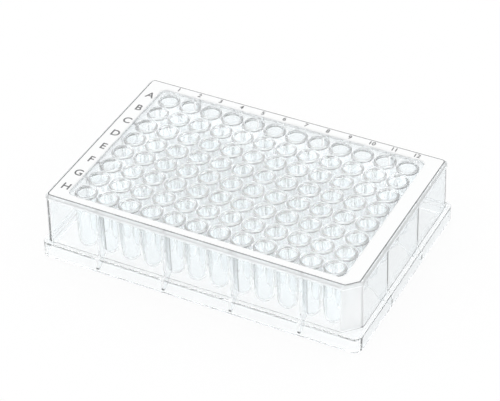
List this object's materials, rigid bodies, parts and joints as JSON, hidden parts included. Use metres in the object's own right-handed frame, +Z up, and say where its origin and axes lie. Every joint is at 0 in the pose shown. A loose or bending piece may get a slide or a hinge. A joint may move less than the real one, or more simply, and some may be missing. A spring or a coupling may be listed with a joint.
{
  "type": "well plate",
  "caption": "Clear moulded laboratory plate with a grid of round-bottomed wells, a skirt with a stepped foot, a cut key corner and a printed white border.",
  "frame": {"origin": "on the surface the foot stands on, under the middle of the plate", "axes": "+X along the plate towards the last column, +Y across it towards row A, +Z up out of the wells"},
  "size_m": [0.1278, 0.0854, 0.027],
  "materials": {
    "clear_plastic": "gloss",
    "white_print": "satin",
    "grey_print": "satin"
  },
  "bodies": {
    "root": {"well_plate": "clear_plastic"}
  },
  "joints": []
}
